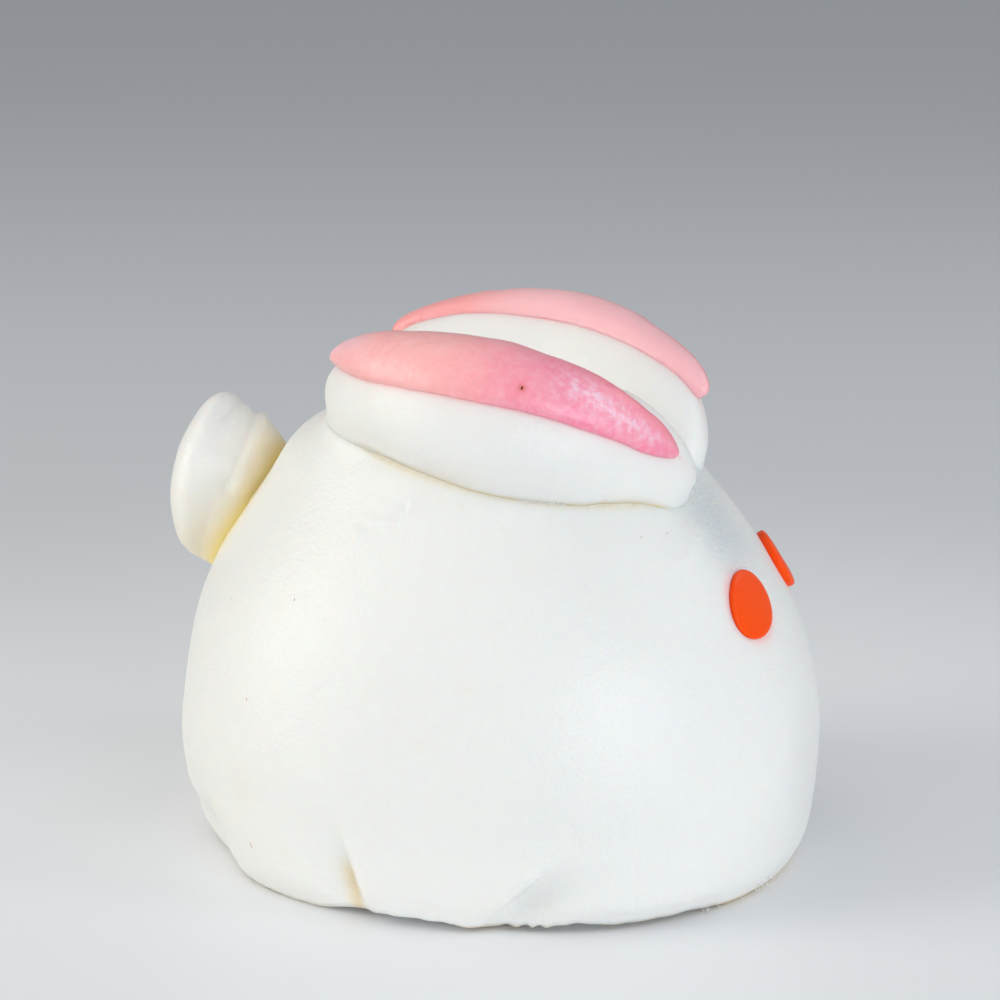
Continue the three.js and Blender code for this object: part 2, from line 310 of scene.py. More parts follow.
def lumps(points, size, seed):
    """A smooth random field between about -1 and 1 over points; size is the width of a lump."""
    table = np.random.default_rng(seed).uniform(-1, 1, (32, 32, 32))
    p = np.asarray(points) / size
    i = np.floor(p).astype(int)
    f = p - i
    f = f * f * (3 - 2 * f)
    total = 0
    for corner in np.ndindex(2, 2, 2):
        weight = np.prod(np.where(np.array(corner) == 1, f, 1 - f), axis=-1)
        x, y, z = ((i[..., k] + corner[k]) % 32 for k in range(3))
        total = total + weight * table[x, y, z]
    return total


def uneven(skin, points):
    """How far a skin swells and sinks at points."""
    return sum(out * lumps(points, size, seed) for out, size, seed in UNEVEN[skin])


def line_distance(points, line):
    """Distance to the nearest span of a line of points, and how far along the line that is."""
    away, along = np.inf, 0
    steps = np.diff(np.array(line, float), axis=0)
    for i, (start, step) in enumerate(zip(line, steps)):
        t = np.clip(((points - start) @ step) / (step @ step), 0, 1)
        near = np.linalg.norm(points - start - t[..., None] * step, axis=-1)
        along = np.where(near < away, (i + t) / len(steps), along)
        away = np.minimum(away, near)
    return away, along


# ---- The body as a field ----

def body_height():
    return bpy.context.scene.bun_shape.height / MM


def outline():
    """The profile as rows of radius and height."""
    return spline([(r, part * body_height()) for part, r in PROFILE], 60)


def plan_scale(azimuth):
    """The oval plan as a part of the profile's radius."""
    length = np.where(np.cos(azimuth) > 0, PLAN["front"], PLAN["back"])
    n = PLAN["squareness"]
    return (np.abs(np.cos(azimuth) / length) ** n + np.abs(np.sin(azimuth) / PLAN["side"]) ** n) ** (-1 / n)


def lean_at(z):
    return LEAN * (z / body_height()) ** 2


def profile_point(right, z):
    """Points on the smooth profile, by direction towards the right and height."""
    azimuth = -np.radians(right)
    line = outline()
    radius = np.interp(z, line[:, 1], line[:, 0]) * plan_scale(azimuth)
    return np.stack([radius * np.sin(azimuth), lean_at(z) - radius * np.cos(azimuth), z + 0 * radius], -1)


def swelling(points):
    """How far the dough swells or sinks, as hand-shaped dough does."""
    total = bpy.context.scene.bun_shape.unevenness / MM * uneven("body", points)
    for right, z, spread, out in FULL_PLACES:
        total = total + out * np.exp(-((points - profile_point(right, z)) ** 2).sum(-1) / spread**2)
    return total


_tables = {}


def body_table():
    """Signed distances to the profile over a grid of radius and height, made once for each height."""
    height = body_height()
    if height not in _tables:
        line = outline()[::3]
        r, z = np.meshgrid(np.arange(0, 50, CELL), np.arange(LOWEST, 72, CELL), indexing="ij")
        spots = np.stack([r, z], -1).reshape(-1, 1, 2)
        a, step = line[:-1], np.diff(line, axis=0)
        t = np.clip(((spots - a) * step).sum(-1) / np.maximum((step * step).sum(-1), 1e-12), 0, 1)
        near = np.linalg.norm(spots - a - t[..., None] * step, axis=-1).min(1).reshape(r.shape)
        inside = r < np.interp(z, line[:, 1], line[:, 0], left=0, right=0)
        _tables[height] = np.where(inside, -near, near)
    return _tables[height]


def body_gap(points):
    """How far points lie outside the smooth body; negative inside."""
    table = body_table()
    x, y, z = points[..., 0], points[..., 1] - lean_at(np.clip(points[..., 2], 0, 60)), points[..., 2]
    scale = plan_scale(np.arctan2(x, -y))
    u = np.clip(np.hypot(x, y) / scale / CELL, 0, table.shape[0] - 1.01)
    v = np.clip((z - LOWEST) / CELL, 0, table.shape[1] - 1.01)
    i, j = u.astype(int), v.astype(int)
    fu, fv = u - i, v - j
    t00, t10, t01, t11 = table[i, j], table[i + 1, j], table[i, j + 1], table[i + 1, j + 1]
    gap = (t00 * (1 - fu) + t10 * fu) * (1 - fv) + (t01 * (1 - fu) + t11 * fu) * fv
    run = ((t10 - t00) * (1 - fv) + (t11 - t01) * fv) / CELL
    rise = ((t01 - t00) * (1 - fu) + (t11 - t10) * fu) / CELL
    return gap / np.sqrt((run / scale) ** 2 + rise**2 + 1e-6) - swelling(points)


def uphill(field, points, step=0.12):
    """The outward unit normals of a field at points."""
    moves = np.eye(3) * step
    return unit(np.stack([field(points + move) - field(points - move) for move in moves], -1))


def skin_place(right, z):
    """Points of the smooth skin and their normals, by direction towards the right and height."""
    spot = profile_point(np.asarray(right, float), np.asarray(z, float))
    for _ in range(3):
        normal = uphill(body_gap, spot)
        spot = pushed(spot, normal, -body_gap(spot))
    return spot, normal


def skin_spot(right, z):
    """One point of the smooth skin and its normal."""
    spot, normal = skin_place([right], [z])
    return spot[0], normal[0]


# ---- Ears and tail as fields ----

def ear_matrix(ear):
    turn = Matrix.Rotation(-ear["side"] * math.radians(ear["yaw"]), 4, "Z")
    turn = turn @ Matrix.Rotation(math.radians(ear["pitch"]), 4, "X")
    turn = turn @ Matrix.Rotation(ear["side"] * math.radians(ear["tilt"]), 4, "Y")
    return np.array(Matrix.Translation(ear["at"]) @ turn)


def ear_sizes():
    """Half the length, width and height of an ear."""
    ears = bpy.context.scene.bun_ears
    return ears.length / MM / 2, ears.width / MM / 2, ears.height / MM / 2


def ear_point(ear, part, angle, lift):
    """A point of an ear: part runs from -1 at the front end to 1 at the back, angle round its section."""
    length, width, height = ear_sizes()
    section = np.sqrt(np.maximum(0, 1 - np.abs(part) ** EAR["fullness"]))
    full, at_angle, at_part, spread, run = FULLER["right" if ear["side"] < 0 else "left"]
    aside, along = (np.degrees(angle) - at_angle) / spread, (part - at_part) / run
    lift = lift + full * np.exp(-(aside**2) - along**2)
    across, up = np.cos(angle), np.sin(angle)
    # Under its widest line the front end goes straight down into the brow, and the back is shallower.
    front = smoothstep(*EAR["skirt"], part) * (up < 0)
    across = np.sign(across) * np.abs(across) ** (1 - EAR["square"] * front)
    power, root = EAR["blunt"]
    blunt = np.maximum(0, 1 - np.abs(part) ** power) ** root * ear["deep"]
    deep = section + front * (blunt - section)
    deep = deep * (1 - EAR["shallow"] * window(part, *EAR["shallow_span"]) * (up < 0))
    fall = (height + lift) * deep * up
    local = np.stack([
        (width + lift) * section * across * ear["side"] - ear["side"] * EAR["bend"] * part**2,
        (length + lift) * part + front * fall * (ear["upright"] - ear["tuck"] * (1 - section) ** 3),
        fall - EAR["droop"] * part**2,
    ], -1)
    matrix = ear_matrix(ear)
    return local @ matrix[:3, :3].T + matrix[:3, 3]


def ear_gap(ear, points):
    """About how far points lie outside an ear; negative inside."""
    length, width, height = ear_sizes()
    matrix = ear_matrix(ear)
    local = (points - matrix[:3, 3]) @ matrix[:3, :3]
    part = np.clip(local[..., 1] / length, -1.5, 1.5)
    x = local[..., 0] + ear["side"] * EAR["bend"] * part**2
    z = local[..., 2] + EAR["droop"] * part**2
    level = (x / width) ** 2 + (z / height) ** 2 + np.abs(part) ** EAR["fullness"] - 1
    along = (
        2 * x / width**2 * 2 * ear["side"] * EAR["bend"] * part
        + 2 * z / height**2 * 2 * EAR["droop"] * part
        + EAR["fullness"] * np.abs(part) ** (EAR["fullness"] - 1) * np.sign(part)
    ) / length
    slope = np.sqrt((2 * x / width**2) ** 2 + (2 * z / height**2) ** 2 + along**2)
    return np.clip(level / np.maximum(slope, 0.02), -9, 60)


def lobe_reach(lobe, direction):
    """Distance from the tail's centre to a lobe's skin in a direction."""
    at, half, tilt = lobe
    turn = np.array(Matrix.Rotation(-math.radians(tilt), 3, "X"))
    start = turn @ (np.array(TAIL["centre"]) - at) / half
    step = direction @ turn.T / half
    a, b = (step**2).sum(-1), step @ start
    room = b**2 - a * (start @ start - 1)
    return np.where(room > 0, (np.sqrt(np.maximum(0, room)) - b) / a, 0)


def tail_reach(direction):
    """Distance from the tail's centre to its skin, with the lobes blended more softly low down."""
    outer, inner, low = (lobe_reach(lobe, direction) for lobe in LOBES)
    blend = TAIL["blend"] + (TAIL["blend_low"] - TAIL["blend"]) * smoothstep(0.85, 0.5, direction[..., 2])
    reach = (outer + inner + np.hypot(outer - inner, blend)) / 2 - 0.25 * (blend - TAIL["blend"])
    return (reach + low + np.hypot(reach - low, 2.0)) / 2


def tail_gap(points):
    """About how far points lie outside the tail; negative inside."""
    arm = points - np.array(TAIL["centre"])
    return 0.9 * (np.linalg.norm(arm, axis=-1) - tail_reach(unit(arm)))


# ---- Joining dough to dough ----

def soft_join(gap, cosine, soft):
    """How far a skin rises along its normal to flow into a neighbour that is gap away, where cosine
    is that between the two normals. Past the meeting line it stays level and then falls back."""
    soft = np.maximum(soft, 1e-3)
    low, high = np.zeros_like(gap), soft / 4
    for _ in range(18):
        rise = (low + high) / 2
        other = gap + rise * cosine
        near = np.minimum(rise, other)
        level = near - soft / 4 * np.maximum(1 - np.abs(rise - other) / soft, 0) ** 2
        low, high = np.where(level < 0, rise, low), np.where(level < 0, high, rise)
    rise = (low + high) / 2
    past = rise - (gap + rise * cosine)
    return np.where(gap > soft, 0, rise) * (1 - smoothstep(0.4, 2.0, past))


def rise_to(field, points, normals, soft):
    """How far a skin rises to flow into the piece of a field, and the gap to it."""
    gap = field(points)
    return soft_join(gap, (normals * uphill(field, points)).sum(-1), soft), gap


def laid_on_body(points, normals, soft, sink):
    """Moves a piece's points so that it flows into the body's skin and ends just under it."""
    placed = pushed(points, normals, rise_to(body_gap, points, normals, soft)[0])
    for _ in range(4):
        gap = body_gap(placed)
        under = np.minimum(gap + sink, 0)
        placed = pushed(placed, uphill(body_gap, placed), -under)
    return placed, gap


# ---- Meshes ----

def grid_normals(grid):
    """Outward normals of a closed grid of rows by columns."""
    round_about = np.roll(grid, -1, 1) - np.roll(grid, 1, 1)
    normals = unit(np.cross(round_about, np.gradient(grid, axis=0)))
    outward = ((grid - grid.mean((0, 1))) * normals).sum(-1).mean()
    return normals if outward > 0 else -normals


def skin_mesh(name, grid, material, masks=None, ends=None):
    """A closed piece from a grid of rows by columns and its two end points, shaded smooth. The ends are
    the middles of the outer rows if none are given. masks are named values over the grid."""
    rows, columns = grid.shape[:2]
    if ends is None:
        ends = [grid[0].mean(0), grid[-1].mean(0)]
    points = np.concatenate([grid.reshape(-1, 3), np.array(ends, float)])
    index = np.arange(rows * columns).reshape(rows, columns)
    beside = np.roll(index, -1, 1)
    quads = np.stack([index[:-1], beside[:-1], beside[1:], index[1:]], -1).reshape(-1, 4)
    first, last = rows * columns, rows * columns + 1
    fans = [(first, b, a) for a, b in zip(index[0], beside[0])]
    fans += [(last, a, b) for a, b in zip(index[-1], beside[-1])]
    corners = points[quads]
    volume = (corners[:, 0] * np.cross(corners[:, 1], corners[:, 2])).sum()
    volume += (corners[:, 0] * np.cross(corners[:, 2], corners[:, 3])).sum()
    if volume < 0:
        quads = quads[:, ::-1]
        fans = [fan[::-1] for fan in fans]
    mesh = bpy.data.meshes.new(name)
    mesh.from_pydata((points * MM).tolist(), [], quads.tolist() + fans)
    for mask, values in (masks or {}).items():
        values = np.broadcast_to(values, (rows, columns))
        flat = np.concatenate([values.reshape(-1), [values[0].mean(), values[-1].mean()]])
        layer = mesh.attributes.new(mask, "FLOAT", "POINT")
        layer.data.foreach_set("value", flat.astype(np.float32))
    return finished_piece(name, mesh, material)


def finished_piece(name, mesh, material):
    mesh.shade_smooth()
    mesh.materials.append(material)
    piece = bpy.data.objects.new(name, mesh)
    bpy.context.scene.collection.objects.link(piece)
    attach(piece, "root")
    return piece


def spread_evenly(weight, count):
    """Places from 0 to 1 for each row, closer together where the row's weight is high."""
    total = np.cumsum(weight, axis=-1)
    total = (total - total[..., :1]) / (total[..., -1:] - total[..., :1])
    places = np.linspace(0, 1, weight.shape[-1])
    wanted = np.arange(count) / count
    return np.stack([np.interp(wanted, row, places) for row in total])


# ---- Body ----

def pleat_relief(azimuth, z, radius):
    """How far the pleats move the skin out: grooves with one steep side and a swelling beside it."""
    depth = bpy.context.scene.bun_shape.pleat_depth
    right = -np.degrees(azimuth)
    relief = np.zeros(np.broadcast(azimuth, z).shape)
    for at, slant, reach, deep, width, lap, swell, left in PLEATS:
        foot = left + (1 - left) * smoothstep(0, PLEAT["low"], z)
        across = np.radians(wrap(right - at - slant * z)) * radius / width * lap
        groove = hill(across, np.where(across > 0, PLEAT["sharpness"], 1))
        swollen = hill(across - PLEAT["swell_at"], PLEAT["swell_width"])
        fade = 1 - smoothstep(PLEAT["low"], reach, z)
        relief += fade * (swell * swollen - foot * deep * depth * groove)
    for at, spread, power, out, low, high in FOOT_PLACES:
        relief += out * (1 - smoothstep(low, high, z)) * hill(wrap(right - at), spread, power)
    return relief


def body_directions():
    """Directions round the body, closer together at the pleats and at the bits that hang."""
    around = np.linspace(-180, 180, 3601)
    weight = np.ones(3601)
    for pleat in PLEATS:
        weight += 2.2 * hill(wrap(around + pleat[0]), 7.0)
    weight += 4.0 * hill(wrap(around + TEETH[1][0]), 4.0, 4)
    return np.radians(-180 + 360 * spread_evenly(weight[None], BODY_COLUMNS)[0])


def body_rows():
    """Radius and height of each row, from the middle of the base to the crown. Rows are closer together
    at the foot, and where the ears, tail and brow need them."""
    line = outline()
    length = np.concatenate([[0], np.cumsum(np.linalg.norm(np.diff(line, axis=0), axis=1))])
    height = np.interp(np.linspace(0, length[-1], 4000), length, line[:, 1])
    weight = 1 + 2.0 * (height < 9) + 0.9 * (height > 38) * (height < 51.5)
    places = spread_evenly(weight[None], BODY_ROWS)[0]
    places = np.append(places, (1 + places[-1]) / 2) * length[-1]
    climb = np.stack([np.interp(places, length, line[:, 0]), np.interp(places, length, line[:, 1])], -1)
    return np.concatenate([[(r, 0.0) for r in BASE_RINGS], climb])


def foot_lift(right, radius, z, grid):
    """How far the foot's edge curls up off the plate, with its ragged edge and hanging bits."""
    lift = sum(up * hill(wrap(right - at), spread, 4) for at, spread, up in CURLS)
    ragged = RAGGED["least"] + RAGGED["more"] * hill(wrap(right - RAGGED["at"]), RAGGED["spread"], 4)
    bumps = np.maximum(RAGGED["floor"], lumps(grid, RAGGED["lump"], 21))
    lift = lift + ragged * bumps * smoothstep(BASE * 0.9, BASE, radius)
    hang = sum(drop * hill(wrap(right - at), half) for at, half, drop in TEETH)
    return lift - hang * smoothstep(BASE * 0.95, BASE, radius) * (1 - smoothstep(0.3, 1.2, z))


def from_mark(grid, mark):
    """Distance from a mark's line on the skin, and how far along it."""
    return line_distance(grid, skin_place(mark["right"], mark["height"])[0])


def mark_skin(grid, normals):
    """Raises the fold and the rough patch. Returns the points and how rough the skin is, also where glints
    are painted.
    """
    away, along = from_mark(grid, FOLD)
    fold = FOLD["out"] * hill(away, FOLD["width"]) * (1 - smoothstep(*FOLD["fade"], along))
    grid = pushed(grid, normals, fold)
    rough = hill(from_mark(grid, PATCH)[0], PATCH["width"])
    grid = pushed(grid, normals, rough * PATCH["out"] * lumps(grid, PATCH["lump"], 33))
    return grid, np.maximum(PATCH["frost"] * rough, hill(from_mark(grid, BROW)[0], BROW["width"]))


def tan_stains_and_shade(right, grid):
    """Where the skin is tan: painted shade in a deep pleat and at the foot's edge, the dry underside's own
    tan, and small stains.
    """
    z = grid[..., 2]
    at, slant = PLEATS[1][:2]
    aside = wrap(right - at - slant * z) * 0.55 - 0.15
    # Tan painted as shade in the deepest pleat.
    fold = 0.6 * hill(aside, np.where(aside > 0, 1.2, 0.6)) * window(z, 1.2, 4.6, 3.0)
    # Tan at the foot's edge: the dry underside's own colour with painted shade, less of it where the foot
    # faces the window light.
    foot = (0.7 - 0.45 * window(right, 112, 165, 8)) * (1 - smoothstep(0.0, 1.1, z))
    total = np.maximum(fold, foot)
    for towards, height, wide, tall, strength in STAINS:
        spot, normal = skin_spot(towards, height)
        side = unit(np.cross([0, 0, 1.0], normal))
        arm = grid - spot
        up = np.cross(normal, side)
        far = (arm @ side / wide) ** 2 + (arm @ up / tall) ** 2 + (arm @ normal / 3) ** 2
        total = np.maximum(total, strength * np.exp(-far))
    return total


def eye_glow(grid):
    """Pink painted as a glow on the skin round the eyes."""
    blush = np.zeros(grid.shape[:2])
    for towards, height, wide, tall, _, _ in EYES.values():
        away = np.linalg.norm(grid - skin_spot(towards, height)[0], axis=-1) - (wide + tall) / 2
        blush = np.maximum(blush, 0.5 * fading(away, 0.5))
    return blush


def kept_inside(points, node, soft):
    """Draws points back into a node's box, gently over the last soft millimetres of its width and length."""
    low, high = (np.array(corner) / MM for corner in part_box(node))
    points = points.copy()
    for axis in (0, 1):
        for sign, edge in ((-1, -low[axis]), (1, high[axis])):
            over = sign * points[..., axis] - (edge - soft)
            drawn = edge - soft * np.exp(-np.maximum(over, 0) / soft)
            points[..., axis] = np.where(over > 0, sign * drawn, points[..., axis])
    points[..., 2] = np.clip(points[..., 2], low[2], high[2])
    return points


def shape_body():
    """The domed body with its pleats, curled foot and marks."""
    azimuth = body_directions()[None]
    right = -np.degrees(azimuth)
    rows = body_rows()
    radius, z = rows[:, :1], rows[:, 1:]
    plan = radius * plan_scale(azimuth)
    inner = smoothstep(BASE * 0.74, BASE * 0.9, radius)
    share = np.where(z > 0, smoothstep(*PLEAT["fade"], z), inner)
    reach = plan + pleat_relief(azimuth, z, np.maximum(plan, 1)) * share
    grid = np.stack([reach * np.sin(azimuth), lean_at(z) - reach * np.cos(azimuth), z + 0 * reach], -1)
    normals = grid_normals(grid)
    grid = pushed(grid, normals, swelling(grid) * smoothstep(0.5, 6, z))
    lift = foot_lift(right, radius, z, grid) * inner * (1 - smoothstep(0.5, 5, z))
    grid[..., 2] = np.maximum(0, grid[..., 2] + lift)
    grid, rough = mark_skin(grid, normals)

    # The skin rises softly to the ears and the tail.
    normals = grid_normals(grid)
    rise, gap = rise_to(tail_gap, grid, normals, TAIL["soft"])
    # Warm yellow painted as shade on the body's skin where it meets the tail.
    masks = {"rough": rough, "gold": 0.8 * fading(gap, 1.2), "tan": 0}
    for ear in EARS.values():
        risen, gap = rise_to(partial(ear_gap, ear), grid, normals, ear_softness(ear, grid))
        rise = np.maximum(rise, risen)
        # A thin tan line along each ear's seam: partly the joint's own dark line and partly painted shade.
        masks["tan"] = np.maximum(masks["tan"], 0.6 * np.exp(-np.abs(gap) / 0.3))
    grid = pushed(grid, normals, rise)
    # Tan of small stains, with tan painted as shade in a pleat and at the foot's edge.
    masks["tan"] = np.maximum(masks["tan"], tan_stains_and_shade(right, grid))
    # Pink painted as a glow round the eyes.
    masks["blush"] = eye_glow(grid)
    crown = (0, LEAN, grid[-1, :, 2].max() + 0.01)
    grid = kept_inside(grid, "bun_body", 1.6)
    piece = skin_mesh("white_body", grid, finish("White Dough"), masks, [(0, 0, 0), crown])
    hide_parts("bun_body")


# ---- Ears ----

def ear_softness(ear, points):
    """How softly an ear flows into the body: a crisp seam along it, fused at both ends."""
    matrix = ear_matrix(ear)
    part = ((points - matrix[:3, 3]) @ matrix[:3, :3])[..., 1] / ear_sizes()[0]
    ears = bpy.context.scene.bun_ears
    seam, rear, front = ears.seam / MM, ears.rear_join / MM, ears.front_join / MM
    softness = seam + (rear - seam) * smoothstep(0.5, 0.92, part)
    return softness + (front - seam) * smoothstep(-0.72, -0.98, part)


def shape_ear(name):
    """A white ear that lies on the crown."""
    ear = EARS[name]
    y = -np.cos(half_turn(EAR["rows"]))
    part = np.sign(y) * np.abs(y) ** (2 / EAR["fullness"])
    bottom = np.radians(-90)
    gap = body_gap(ear_point(ear, part, np.linspace(0, 2 * np.pi, 721)[None] + bottom, 0))
    weight = 0.25 + smoothstep(-1.5, 0.2, gap) + 3.0 * hill(gap - 0.3, 0.9)
    angle = 2 * np.pi * spread_evenly(weight, EAR["columns"]) + bottom
    grid = ear_point(ear, part, angle, 0)
    normals = grid_normals(grid)
    outer = smoothstep(0.15, -0.1, np.sin(angle)) * smoothstep(-0.2, 0.2, np.cos(angle))
    if name == "right":
        gap = body_gap(grid)
        hills = (out * hill(gap - at, spread) * window(part, *span) for out, at, spread, span in SEAM_SHAPES)
        grid = pushed(grid, normals, sum(hills) * outer)
    grid = pushed(grid, normals, uneven("ear", grid))
    grid, gap = laid_on_body(grid, normals, ear_softness(ear, grid), 1.0)
    # A thin tan line along the seam, partly the joint's own dark line and partly painted shade; on the right
    # ear also painted shade in the pocket and in a band above the outer seam.
    tan = 1.3 * (fading(gap, 0.2) * window(part, -0.82, 0.5, 0.12))
    for strength, reach, span in SEAM_SHADES if name == "right" else []:
        tan = np.maximum(tan, strength * fading(gap, reach) * window(part, *span) * outer)
    tips = [ear_point(ear, np.array(end), np.array(0.0), 0) for end in (-1.0, 1.0)]
    ends = [row.mean(0) if body_gap(tip) < 0.3 else tip for tip, row in zip(tips, (grid[0], grid[-1]))]
    masks = {"tan": tan, "blush": stripe_blush(name, part, angle)}
    piece = skin_mesh(f"white_ear_{name}", grid, finish("White Dough"), masks, ends)
    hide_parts(f"ear_{name}")


# ---- Stripes ----

def stripe_run(name):
    """The middle and half the length of a stripe, as parts of its ear."""
    stripe = STRIPES[name]
    return (stripe["front"] + stripe["back"]) / 2, (stripe["back"] - stripe["front"]) / 2


def stripe_span(name, y):
    """The middle angle and the half breadth of a stripe, and how its ends round off, by y from -1 to 1."""
    front, back = STRIPE["round"]
    rounded = np.sqrt(np.maximum(0, 1 - np.abs(y) ** np.where(y < 0, front, back)))
    middle, half = (np.radians(eased(STRIPES[name][key], y)) for key in ("middle", "half"))
    return middle, half * rounded, rounded


def stripe_blush(name, part, angle):
    """Pink that has bled from the stripe into the white skin beside it."""
    at, run = stripe_run(name)
    y = (part - at) / run
    middle, half, _ = stripe_span(name, np.clip(y, -1, 1))
    away = (np.abs((angle - middle + np.pi) % (2 * np.pi) - np.pi) - half) * STRIPE["radius"]
    away = np.maximum(away, (np.abs(y) - 1) * STRIPE["run"])
    return 0.5 * fading(away, 0.22) + 0.16 * fading(away, 1.3)


def stripe_masks(name, y, across, grid):
    """Where a stripe has painted shade, painted highlights and light, and where it is pinker and scorched."""
    if name == "right":
        # Deeper pink painted as shade along the upper, inner edge, where light grazes.
        inner = smoothstep(0.2, -1.0, across)
        # Pale pink painted as a highlight at the back end.
        pale = 0.75 * window(y, 0.82, 1.0, 0.15) * hill(across + 0.1, 0.6)
        # Pale pink painted as highlights, in a band at the front and at the back end.
        front = window(y, -0.74, -0.42, 0.26) * hill(across - 0.27, 0.36)
        wet = np.maximum(front, 0.6 * (window(y, 0.86, 1.0, 0.12) * hill(across + 0.1, 0.55)))
    else:
        # Deeper pink painted as shade over the outer side and towards the back end.
        inner = np.maximum(smoothstep(-0.25, 0.2, across), 0.6 * smoothstep(0.1, 0.9, y))
        # Pale pink painted as light on the inner side, from the front end to past the middle.
        pale = 0.8 * window(y, -0.9, 0.3, 0.35) * smoothstep(0.1, -0.25, across)
        wet = 0
    return {
        "edge": inner, "along": smoothstep(0.5, -0.35, y) * STRIPES[name]["pink"], "pale": pale, "wet": wet,
        "scorch": 0.85 * hill(np.linalg.norm(grid - np.array(SPECK), axis=-1), 0.42),
    }


def lay_stripe(name):
    """A stripe of pink dough along an ear."""
    y, turn = -np.cos(half_turn(STRIPE["rows"])), full_turn(STRIPE["columns"])
    at, run = stripe_run(name)
    middle, half, rounded = stripe_span(name, y)
    across, up = np.cos(turn), np.sin(turn)
    angle = middle - across * half
    thick = bpy.context.scene.bun_stripes.thickness / MM * eased(STRIPES[name]["thick"], y)
    lift = np.where(up > 0, thick * np.abs(up) ** 1.1, -STRIPE["sunk"] * np.abs(up) ** 0.5) * rounded**0.6
    grid = ear_point(EARS[name], at + run * y + 0 * angle, angle, lift)
    normals = grid_normals(grid)
    grid = pushed(grid, normals, smoothstep(0.0, 0.4, up) * rounded * uneven("stripe", grid))
    edge = 1 - smoothstep(0.0, 0.5, up)
    grid = pushed(grid, normals, edge * uneven("stripe edge", grid) * np.abs(across) ** 6 * rounded)
    grid, _ = laid_on_body(grid, normals, 0, 0.2)
    masks = stripe_masks(name, y, across, grid)
    piece = skin_mesh(f"pink_stripe_{name}", grid, finish("Pink Dough"), masks)
    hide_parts(f"ear_stripe_{name}")


# ---- Tail and eyes ----

def press_tail():
    """The tail's lobes with the fold down their inner side."""
    polar, turn = half_turn(TAIL["rows"]), full_turn(TAIL["columns"])
    reach, back = np.sin(polar), 0 * turn - np.cos(polar)
    direction = np.stack([reach * np.sin(turn), back, reach * np.cos(turn)], -1)
    grid = direction * tail_reach(direction)[..., None] + np.array(TAIL["centre"])
    normals = grid_normals(grid)
    grid = pushed(grid, normals, uneven("tail", grid))
    away, down = line_distance(grid, TAIL_FOLD)
    beside, _ = line_distance(grid + np.array([0, 1.2, 0]), TAIL_FOLD)
    grid = pushed(grid, normals, 0.55 * hill(beside, 1.0) - (0.58 - 0.28 * down) * hill(away, 0.8))
    grid, gap = laid_on_body(grid, normals, TAIL["soft"], 0.35)
    height = grid[..., 2]
    # Warm yellow painted as shade where the tail meets the body, reaching further near its top and a little
    # deeper towards its foot.
    warm = 1.15 * fading(gap, 1.25 + 0.6 * smoothstep(42, 47, height)) + 0.13 * smoothstep(46, 33, height)
    piece = skin_mesh("white_tail", grid, finish("White Dough"), {"gold": np.clip(warm, 0, 1)})
    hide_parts("tail")


def set_eye(name):
    """A flat disc that follows the skin."""
    towards, height, wide, tall, turn, part = EYES[name]
    half = bpy.context.scene.bun_eyes.thickness / MM * part / 2
    polar, around = half_turn(EYE["rows"]), full_turn(EYE["columns"])
    reach = np.sin(polar) ** EYE["rim"]
    face = np.sign(np.cos(polar)) * np.abs(np.cos(polar)) ** EYE["face"]
    x, y = wide * reach * np.cos(around), tall * reach * np.sin(around)
    lean = math.radians(turn)
    x, y = x * math.cos(lean) - y * math.sin(lean), x * math.sin(lean) + y * math.cos(lean)
    spot, normal = skin_spot(towards, height)
    radius = math.hypot(spot[0], spot[1] - lean_at(height))
    climb = math.hypot(normal[0], normal[1])
    skin, normals = skin_place(towards - np.degrees(x / radius), height + y * climb)
    grid = pushed(skin, normals, half - EYE["sunk"] + (half + EYE["sunk"]) * face)
    piece = skin_mesh(f"orange_{name}", grid, finish("Orange Disc"))
    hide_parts(name)


# ---- Marks ----

def nearest(piece, point):
    """The point of a piece's skin that is nearest to a point, and its normal."""
    found, spot, normal, _ = piece.closest_point_on_mesh(Vector(point) * MM)
    if not found:
        raise RuntimeError(f"no skin of {piece.name} is near {point}")
    return np.array(spot) / MM, np.array(normal)


def blob(spot, normal, along, size, seed, rings=7, sides=12):
    """Points and faces of a small uneven bead on a skin. size is length, width and thickness."""
    forward = unit(along - normal * (along @ normal))
    side = np.cross(normal, forward)
    polar, around = half_turn(rings), full_turn(sides)
    unevenness = 1 + 0.18 * np.random.default_rng(seed).standard_normal((rings - 2, sides))
    reach, up = np.sin(polar), np.cos(polar) + 0 * around
    arms = np.stack([reach * np.cos(around), reach * np.sin(around), up], -1)
    arms = arms * unevenness[..., None] * np.array(size) / 2
    points = spot + arms.reshape(-1, 3) @ np.stack([forward, side, normal])
    ends = [spot + normal * size[2] / 2, spot - normal * size[2] / 2]
    index = np.arange((rings - 2) * sides).reshape(rings - 2, sides)
    beside = np.roll(index, -1, 1)
    faces = np.stack([index[:-1], index[1:], beside[1:], beside[:-1]], -1).reshape(-1, 4).tolist()
    top, low = len(points), len(points) + 1
    faces += [(top, a, b) for a, b in zip(index[0], beside[0])]
    faces += [(low, b, a) for a, b in zip(index[-1], beside[-1])]
    return np.concatenate([points, ends]), faces


def thread(line, radii, sides=6):
    """Points and faces of a closed tapering tube along a line."""
    way = unit(np.gradient(line, axis=0))
    side = unit(np.cross(way, [0.3, 0.2, 1.0]))
    up = np.cross(side, way)
    turn = full_turn(sides)[..., None]
    spokes = np.cos(turn) * side[:, None] + np.sin(turn) * up[:, None]
    rings = line[:, None] + radii[:, None, None] * spokes
    index = np.arange(len(line) * sides).reshape(len(line), sides)
    beside = np.roll(index, -1, 1)
    faces = np.stack([index[:-1], beside[:-1], beside[1:], index[1:]], -1).reshape(-1, 4).tolist()
    return rings.reshape(-1, 3), faces + [index[0][::-1], index[-1]]


